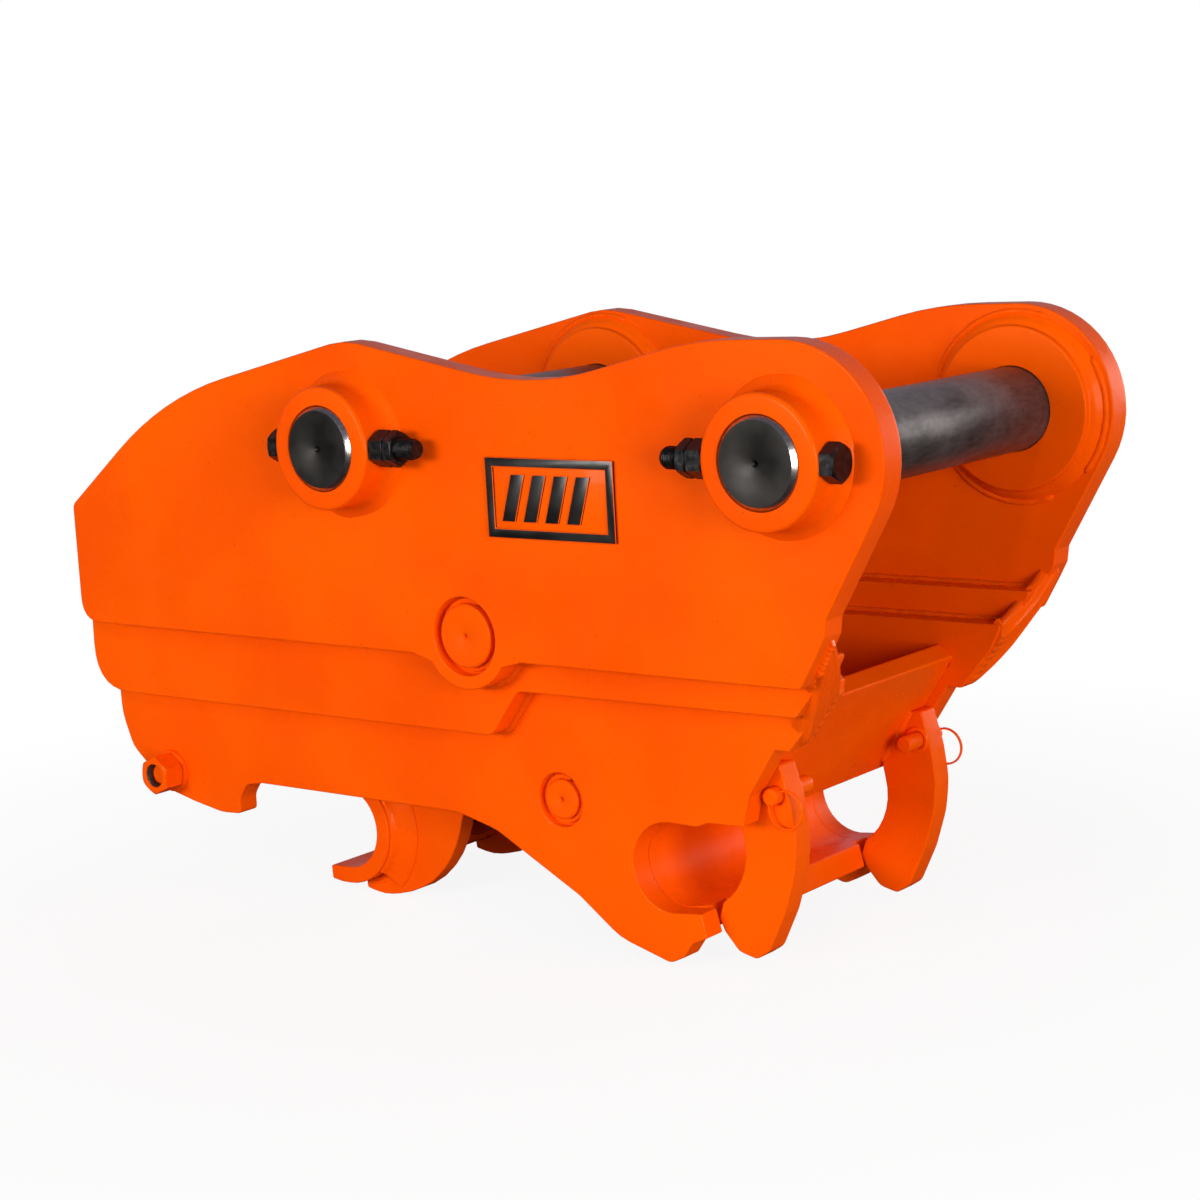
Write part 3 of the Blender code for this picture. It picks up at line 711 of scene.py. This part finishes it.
def tail_tie():
    """Tie rod with washers and self-locking nuts, whose collars hold a black ring."""
    low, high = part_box("tie_rod")
    rod_r = (high.x - low.x) / 2
    end = high.y
    thread_r = rod_r - 1.2 * MM
    shape = bmesh.new()
    profile = [(0, -end), (thread_r - 1.5 * MM, -end), (thread_r, -end + 1.5 * MM),
               (thread_r, end - 1.5 * MM), (thread_r - 1.5 * MM, end), (0, end)]
    add_lathe(shape, profile, 1, 48, False)
    mesh = mesh_from(settle(shape), "tie_rod_turned")
    piece("tie_rod_turned", mesh, [PAINT], "frame", ["tie_rod"], (TIE.x, 0, TIE.z), 30)
    for name, side in SIDES:
        low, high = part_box("tie_nut_" + name)
        inner, outer = sorted((abs(low.y), abs(high.y)))
        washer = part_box("tie_washer_" + name)
        seat = min(abs(washer[0].y), abs(washer[1].y)) - 0.3 * MM
        place = Matrix.Translation((TIE.x, 0, TIE.z)) @ Matrix.Rotation(-side * math.pi / 2, 4, "X")
        shape = bmesh.new()
        angled = place @ Matrix.Rotation(math.radians(25), 4, "Z")
        add_nut(shape, inner, outer, NUT_FLATS, rod_r + 0.4 * MM, angled)
        lining = [(rod_r + 0.6 * MM, outer - 9 * MM), (rod_r + 0.6 * MM, outer - 1.6 * MM),
                  (rod_r - 0.8 * MM, outer - 3.0 * MM), (rod_r - 0.8 * MM, outer - 9 * MM)]
        add_lathe(shape, lining, side, 60, True, centre=(TIE.x, 0, TIE.z), slot=1)
        bore = rod_r + 0.5 * MM
        rim = 22 * MM
        face = seat + 4.2 * MM
        disc = [(bore, seat, 0), (rim, seat, 0), (rim, face, 0.8 * MM), (bore, face, 0)]
        add_lathe(shape, fillet(disc, 0), side, 60, True, centre=(TIE.x, 0, TIE.z))
        mesh = mesh_from(settle(shape), "tie_nut_set_" + name)
        nodes = ["tie_nut_" + name, "tie_washer_" + name]
        piece("tie_nut_set_" + name, mesh, [PAINT, BLACK], "frame", nodes, sharp=26)


# ---------------------------------------------------------------- gate pins and rings

def ring_pins():
    for name, side in SIDES:
        node = "ring_pin_" + name
        low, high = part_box(node)
        inner, outer = sorted((abs(low.y), abs(high.y)))
        radius = (high.x - low.x) / 2
        centre = (low + high) / 2
        profile = [(0, inner), (radius, inner, 2.2 * MM), (radius, outer, 2.4 * MM), (0, outer)]
        shape = bmesh.new()
        add_lathe(shape, fillet(profile, 0, False, 5), side, 48, False)
        turned(shape, node, centre, 30)
        split_ring(name)


def split_ring(name):
    """Two turns of wire, lying side by side."""
    node = "ring_" + name
    low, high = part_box(node)
    centre = (low + high) / 2
    wire = 1.0 * MM
    radius = (high.x - low.x) / 2 - 1.8 * MM
    turns = 1.93
    start = 2.2
    count = 150
    around = 8
    shape = bmesh.new()
    rings = []
    for i in range(count + 1):
        t = i / count
        turn = math.tau * turns * t + start
        out = Vector((math.cos(turn), 0, math.sin(turn)))
        level = (t - 0.5) * 2.4 * wire
        here = centre + out * radius + Vector((0, level, 0))
        ring = []
        for k in range(around):
            a = math.tau * k / around
            ring.append(shape.verts.new(here + (out * math.cos(a) + Vector((0, math.sin(a), 0))) * wire))
        rings.append(ring)
    skin(shape, rings)
    cap(shape, rings)
    mesh = mesh_from(settle(shape), node + "_wire")
    piece(node + "_wire", mesh, [PAINT], body_of(node), [node], sharp=60)


# ---------------------------------------------------------------- cylinder, hook hardware

def cylinder():
    refined("cylinder_barrel", 0.8 * MM, BLACK, 2)
    made = refined("cylinder_rod", 0.8 * MM, CHROME, 2)
    # The rod's eye end gets the orange with painted shade; the rest of the rod stays chrome.
    made.data.materials.append(EYE_PAINTED_SHADE)
    eye_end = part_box("cylinder_rod")[0].x + ROD_EYE
    for face in made.data.polygons:
        face.material_index = 1 if face.center.x < eye_end else 0
    refined("rod_pin", 0.8 * MM, OXIDE, 2)
    refined("hook_tube", 0.8 * MM)
    for name, _ in SIDES:
        refined("gate_stub_" + name, 0.6 * MM, steps=2)


# ---------------------------------------------------------------- name plate

def add_bar(shape, corners, low, high, slot):
    """Adds a flat bar from four (x, z) corners between two Y levels."""
    front = [shape.verts.new((x, low, z)) for x, z in corners]
    back = [shape.verts.new((x, high, z)) for x, z in corners]
    faces = [shape.faces.new(front), shape.faces.new(list(reversed(back)))]
    count = len(corners)
    for k in range(count):
        faces.append(shape.faces.new([front[k], back[k], back[(k + 1) % count], front[(k + 1) % count]]))
    for face in faces:
        face.material_index = slot


def rectangle(left, bottom, right, top):
    return [(left, bottom), (right, bottom), (right, top), (left, top)]


def add_border(shape, outer, inner, low, high, slot):
    """Adds a frame between two rectangles of (x, z) corners, between two Y levels."""
    loops = [[shape.verts.new((x, y, z)) for x, z in corners]
             for corners, y in ((outer, low), (inner, low), (inner, high), (outer, high))]
    skin(shape, loops, True, slot)


def name_plate():
    """A raised black border on an orange field, with plain slanted bars in place of lettering."""
    low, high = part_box("name_plate")
    wall = -UPPER_OUT
    face = low.y
    border = 8.5 * MM
    shape = bmesh.new()
    field = rectangle(low.x + 1 * MM, low.z + 1 * MM, high.x - 1 * MM, high.z - 1 * MM)
    add_bar(shape, field, wall - 1.4 * MM, wall + 0.5 * MM, 0)
    inner_low = (low.x + border, low.z + border)
    inner_high = (high.x - border, high.z - border)
    rim = rectangle(low.x, low.z, high.x, high.z)
    add_border(shape, rim, rectangle(*inner_low, *inner_high), face, wall, 1)
    bars = 4
    margin = 8 * MM
    slant = 13 * MM
    bottom = inner_low[1] + margin * 0.8
    top = inner_high[1] - margin * 0.8
    room = (inner_high[0] - inner_low[0] - 2 * margin - slant) / bars
    for k in range(bars):
        left = inner_low[0] + margin + room * k
        wide = room * 0.62
        corners = [(left, bottom), (left + wide, bottom), (left + wide + slant, top), (left + slant, top)]
        add_bar(shape, corners, face + 0.3 * MM, wall, 1)
    settle(shape)
    soften(shape, 0.5 * MM, 2)
    mesh = mesh_from(shape, "name_plate_badge")
    piece("name_plate_badge", mesh, [PAINT, BADGE], "frame", ["name_plate"], sharp=50)


# ---------------------------------------------------------------- welds

def lift(points, y):
    return [(x, y, z) for x, z in points]


def ledge_welds():
    """Beads where each side plate is lapped on the next one, outside and inside."""
    for k, (name, side) in enumerate(SIDES):
        shape = bmesh.new()
        upper = outline("upper_plate_" + name, side)
        mid = outline("mid_plate_" + name, side)
        lower = outline("lower_plate_" + name, side)
        under = stretch(upper, lambda x, z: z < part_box("upper_plate_near")[0].z + 33 * MM)
        add_bead(shape, lift(under, side * (MID_OUT + 0.5 * MM)), 4.2 * MM, seed=k)
        under = stretch(mid, lambda x, z: z < HOOK_PIN.z - 40 * MM)
        add_bead(shape, lift(under, side * (LOWER_OUT + 0.5 * MM)), 4.2 * MM, seed=k + 5)
        above = stretch(mid, lambda x, z: z > HOOK_PIN.z - 5 * MM)
        add_bead(shape, lift(above, side * (UPPER_IN - 0.5 * MM)), 3.6 * MM, seed=k + 9)
        above = stretch(lower, lambda x, z: z > HOOK_PIN.z - 33 * MM)
        add_bead(shape, lift(above, side * (MID_IN - 0.5 * MM)), 3.6 * MM, seed=k + 13)
        mesh = mesh_from(settle(shape), "ledge_welds_" + name)
        piece("ledge_welds_" + name, mesh, [WELD], "frame", sharp=80)


def at(x, z):
    """A point drawn in millimetres from the rear arm pin, as metres in the frame."""
    return Vector((REAR_PIN.x + x * MM, REAR_PIN.z + z * MM))


def front_welds():
    """Thick weld that fills the steps between the three plates of a side, down their front edges."""
    ahead = Vector((0.82, -0.57))
    runs = ((UPPER_IN + 8 * MM, at(522, -150), at(503, -188)),
            (MID_IN + 12 * MM, at(513, -171), at(474, -229)),
            (LOWER_IN + 12 * MM, at(496, -200), at(447, -265)))
    outer, middle, inner = (run[0] for run in runs)
    first_y = UPPER_IN + 13 * MM
    last_y = LOWER_IN + 1.5 * MM
    depth = 9 * MM
    across = 14
    along = 60
    for k, (name, side) in enumerate(SIDES):
        shape = bmesh.new()
        rings = []
        for i in range(along + 1):
            t = i / along
            taper = min(1.0, math.sin(math.pi * t) * 2.2)
            places = [run[1].lerp(run[2], t) for run in runs]
            front = []
            back = []
            for j in range(across + 1):
                share = j / across
                y = first_y + (last_y - first_y) * share
                level = min(max(y, inner), outer)
                if level > middle:
                    place = places[1].lerp(places[0], (level - middle) / (outer - middle))
                else:
                    place = places[2].lerp(places[1], (level - inner) / (middle - inner))
                swell = math.sin(math.pi * min(1.0, 0.12 + 0.80 * share)) * 3.6 * MM
                lap = 0.5 + 0.5 * math.sin(math.tau * (t * 9 + 0.2 * math.sin(share * 7 + k)))
                rough = 0.9 * MM * lap + 1.3 * MM * noise.noise(Vector((share * 2.4, t * 4, k + 7)))
                spot = place + ahead * ((3.6 * MM + swell + rough) * taper - 1.2 * MM * (1 - taper))
                deep = place - ahead * depth
                front.append(shape.verts.new((spot.x, side * y, spot.y)))
                back.append(shape.verts.new((deep.x, side * y, deep.y)))
            rings.append(front + back[::-1])
        skin(shape, rings)
        cap(shape, rings)
        mesh = mesh_from(settle(shape), "front_welds_" + name)
        piece("front_welds_" + name, mesh, [PAINT], "frame", sharp=85)


def add_sector(shape, profile, centre, start, end, side, count, wobble):
    """Adds a part-turn solid about a Y axis; profile is a closed list of (radius, y)."""
    rings = []
    for i in range(count + 1):
        turn = math.radians(start + (end - start) * i / count)
        ring = []
        for radius, y in profile:
            r, level = wobble(turn, radius, y)
            place = (centre.x + r * math.cos(turn), side * level, centre.z + r * math.sin(turn))
            ring.append(shape.verts.new(place))
        rings.append(ring)
    skin(shape, rings)
    cap(shape, rings)


def hook_welds():
    """Broad fillets between the hook's liner and cheeks, and beads round its pivot tube."""
    low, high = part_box("hook_liner")
    outer = LINER_R
    centre = Vector((high.x - outer, 0, low.z + outer))
    shape = bmesh.new()
    for k, (name, side) in enumerate(SIDES):
        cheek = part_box("hook_cheek_" + name)
        near, far = sorted((abs(cheek[0].y), abs(cheek[1].y)))
        rise = high.y - far
        profile = [(outer - 3 * MM, far - 2 * MM, 0), (outer - 3 * MM, high.y - 3 * MM, 0),
                   (outer + 1.5 * MM, high.y - 3.0 * MM, 2 * MM), (outer + 7 * MM, far + 0.42 * rise, 9 * MM),
                   (outer + 21 * MM, far + 0.16 * rise, 6 * MM), (outer + 25 * MM, far + 0.12 * rise, 2 * MM),
                   (outer + 26 * MM, far - 2 * MM, 0)]
        toe = weld_wobble(lambda r, y: r > outer + 4 * MM, k + 31, 1.5 * MM)
        add_sector(shape, fillet(profile, 0, True, 5), centre, 61, -46, side, 100, toe)
        tube = arc((HOOK_PIN.x, HOOK_PIN.z), 50.5 * MM, 0, 354, 60)
        for level in (near, far):
            add_bead(shape, lift(tube, side * level), 3.6 * MM, True, k + 34)
    mesh = mesh_from(settle(shape), "hook_welds")
    piece("hook_welds", mesh, [WELD], "hook", sharp=60)


def disc_welds():
    """Second, broken weld runs round the discs inside the side plates."""
    shape = bmesh.new()
    for centre in (REAR_PIN, FRONT_PIN):
        for k, (_, side) in enumerate(SIDES):
            for start, end in ((68, 168), (205, 292), (318, 392)):
                path = lift(arc((centre.x, centre.z), 90 * MM, start, end, 40), side * (UPPER_IN + 0.5 * MM))
                add_bead(shape, path, 3.4 * MM, seed=k + start, ripple=0.16)
    mesh = mesh_from(settle(shape), "disc_welds")
    piece("disc_welds", mesh, [WELD], "frame", sharp=80)


def gate_welds():
    """Beads where the claws stand on the gate plate, and the bosses round the ring pins."""
    shape = bmesh.new()
    for k, (name, side) in enumerate(SIDES):
        loop = outline("claw_" + name, side)
        pairs = list(zip(loop, loop[1:] + loop[:1]))
        foot = max(pairs, key=lambda pair: (Vector(pair[0]) - Vector(pair[1])).length)
        low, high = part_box("claw_" + name)
        inner = min(abs(low.y), abs(high.y))
        add_bead(shape, lift(foot, side * (inner - 0.5 * MM)), 4.0 * MM, seed=k + 41)
        pin = centre_of("ring_pin_" + name)
        boss = arc((pin.x, pin.z), 10.5 * MM, 0, 345, 24)
        add_bead(shape, lift(boss, side * inner), 2.4 * MM, True, k + 44, ripple=0.04)
    mesh = mesh_from(settle(shape), "gate_welds")
    piece("gate_welds", mesh, [WELD], "gate", sharp=80)


def cross_welds():
    """Beads that hold the rear bridge and the jaw seat between the side plates."""
    shape = bmesh.new()
    wall = LOWER_IN - 0.5 * MM
    low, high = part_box("rear_bridge")
    seat_low, seat_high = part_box("jaw_seat")
    centre = (seat_low.x + SEAT_R, seat_high.z - SEAT_R)
    for k, (_, side) in enumerate(SIDES):
        for x in (low.x, high.x):
            path = [(x, side * wall, low.z), (x, side * wall, high.z)]
            add_bead(shape, path, 4.0 * MM, seed=k + 51)
        around = arc(centre, SEAT_R, 95, 262, 40)
        add_bead(shape, lift(around, side * wall), 4.0 * MM, seed=k + 54)
    mesh = mesh_from(settle(shape), "cross_welds")
    piece("cross_welds", mesh, [WELD], "frame", sharp=80)


# ---------------------------------------------------------------- stage, light, camera

def soft_light(name, place, size, power):
    """A warm rectangular lamp that faces the coupler's middle."""
    data = bpy.data.lights.new(name, "AREA")
    data.shape = "RECTANGLE"
    data.size, data.size_y = size
    data.energy = power
    data.color = (1.0, 0.96, 0.90)
    made = bpy.data.objects.new(name, data)
    bpy.context.scene.collection.objects.link(made)
    made.location = place
    made.rotation_euler = (Vector((0, 0, 0.3)) - Vector(place)).to_track_quat("-Z", "Y").to_euler()


def colour_mix(tree, factor, first, last):
    """Mixes two colours; each is three numbers or another node's output."""
    made = tree.nodes.new("ShaderNodeMix")
    made.data_type = "RGBA"
    for key, colour in (("A", first), ("B", last)):
        if isinstance(colour, tuple):
            made.inputs[key].default_value = (*colour, 1.0)
        else:
            tree.links.new(colour, made.inputs[key])
    tree.links.new(factor, made.inputs["Factor"])
    return made.outputs["Result"]


def split_by_ray(tree, seen, mirrored, spread):
    """A colour with one value for the camera, one for mirror reflections and one for diffuse light."""
    path = tree.nodes.new("ShaderNodeLightPath")
    lit = colour_mix(tree, path.outputs["Is Glossy Ray"], spread, mirrored)
    return colour_mix(tree, path.outputs["Is Camera Ray"], lit, seen)


def by_direction(tree, axis, start, end, first, last):
    """A sky colour that turns from one value to another along an axis."""
    sky = tree.nodes.new("ShaderNodeTexCoord")
    parts = tree.nodes.new("ShaderNodeSeparateXYZ")
    tree.links.new(sky.outputs["Generated"], parts.inputs[0])
    ramp = tree.nodes.new("ShaderNodeMapRange")
    ramp.interpolation_type = "SMOOTHSTEP"
    ramp.inputs["From Min"].default_value = start
    ramp.inputs["From Max"].default_value = end
    tree.links.new(parts.outputs[axis], ramp.inputs["Value"])
    return colour_mix(tree, ramp.outputs[0], first, last)


def fade_to_white(tree, shader):
    """Blends the floor into the white backdrop with distance, for the camera only."""
    place = tree.nodes.new("ShaderNodeTexCoord")
    length = tree.nodes.new("ShaderNodeVectorMath")
    length.operation = "LENGTH"
    tree.links.new(place.outputs["Object"], length.inputs[0])
    fall = tree.nodes.new("ShaderNodeMapRange")
    fall.interpolation_type = "SMOOTHSTEP"
    for key, value in (("From Min", 0.35), ("From Max", 1.3), ("To Min", 0.90), ("To Max", 1.0)):
        fall.inputs[key].default_value = value
    tree.links.new(length.outputs["Value"], fall.inputs["Value"])
    path = tree.nodes.new("ShaderNodeLightPath")
    both = tree.nodes.new("ShaderNodeMath")
    both.operation = "MULTIPLY"
    tree.links.new(fall.outputs[0], both.inputs[0])
    tree.links.new(path.outputs["Is Camera Ray"], both.inputs[1])
    glow = tree.nodes.new("ShaderNodeEmission")
    mixed = tree.nodes.new("ShaderNodeMixShader")
    tree.links.new(both.outputs[0], mixed.inputs[0])
    tree.links.new(shader.outputs[0], mixed.inputs[1])
    tree.links.new(glow.outputs[0], mixed.inputs[2])
    tree.links.new(mixed.outputs[0], tree.nodes["Material Output"].inputs["Surface"])


def stage():
    floor_mesh = bpy.data.meshes.new("floor")
    shape = bmesh.new()
    bmesh.ops.create_grid(shape, x_segments=1, y_segments=1, size=30)
    shape.to_mesh(floor_mesh)
    shape.free()
    floor = bpy.data.objects.new("floor", floor_mesh)
    bpy.context.scene.collection.objects.link(floor)
    floor.location.z = -0.2 * MM
    look = bpy.data.materials.new("floor_pale")
    look.use_nodes = True
    shader = look.node_tree.nodes["Principled BSDF"]
    shader.inputs["Roughness"].default_value = 0.9
    shader.inputs["Specular IOR Level"].default_value = 0.1
    colour = split_by_ray(look.node_tree, (0.96, 0.96, 0.96), (0.06, 0.05, 0.05), (0.42, 0.40, 0.39))
    look.node_tree.links.new(colour, shader.inputs["Base Color"])
    fade_to_white(look.node_tree, shader)
    floor_mesh.materials.append(look)
    world = bpy.data.worlds.new("studio")
    bpy.context.scene.world = world
    world.use_nodes = True
    background = world.node_tree.nodes["Background"]
    tree = world.node_tree
    mirrored = by_direction(tree, "Y", 0.0, 0.6, (0.12, 0.11, 0.13), (0.42, 0.39, 0.44))
    spread = by_direction(tree, "Z", 0.0, 0.6, (0.66, 0.62, 0.62), (0.05, 0.05, 0.06))
    colour = split_by_ray(tree, (1.0, 1.0, 1.0), mirrored, spread)
    world.node_tree.links.new(colour, background.inputs["Color"])
    soft_light("key_left", (-0.9, -4.4, 1.15), (1.8, 1.1), 112)
    soft_light("key_right", (4.0, -1.9, 0.8), (2.0, 1.6), 118)
    soft_light("glint", (1.2, -3.2, 2.6), (0.25, 0.25), 12)
    soft_light("back", (0.9, 4.0, 0.75), (2.2, 1.3), 84)


def camera():
    """A long lens, a little above the coupler, off its front corner."""
    data = bpy.data.cameras.new("camera")
    data.lens = 77.6
    data.sensor_width = 36.0
    made = bpy.data.objects.new("camera", data)
    bpy.context.scene.collection.objects.link(made)
    right = Vector((0.7879, 0.6135, -0.0535))
    up = Vector((-0.0595, 0.1624, 0.9849))
    back = Vector((0.6130, -0.7728, 0.1645))
    turn = Matrix((right, up, back)).transposed()
    made.rotation_euler = turn.to_euler()
    made.location = (1.5991, -1.9687, 0.7236)
    bpy.context.scene.camera = made
    bpy.context.scene.view_settings.view_transform = "Standard"


plates()
arm_pins()
collars()
inner_discs()
pivot_pins()
collar_bolts()
tail_tie()
ring_pins()
cylinder()
name_plate()
ledge_welds()
front_welds()
hook_welds()
disc_welds()
gate_welds()
cross_welds()
stage()
camera()
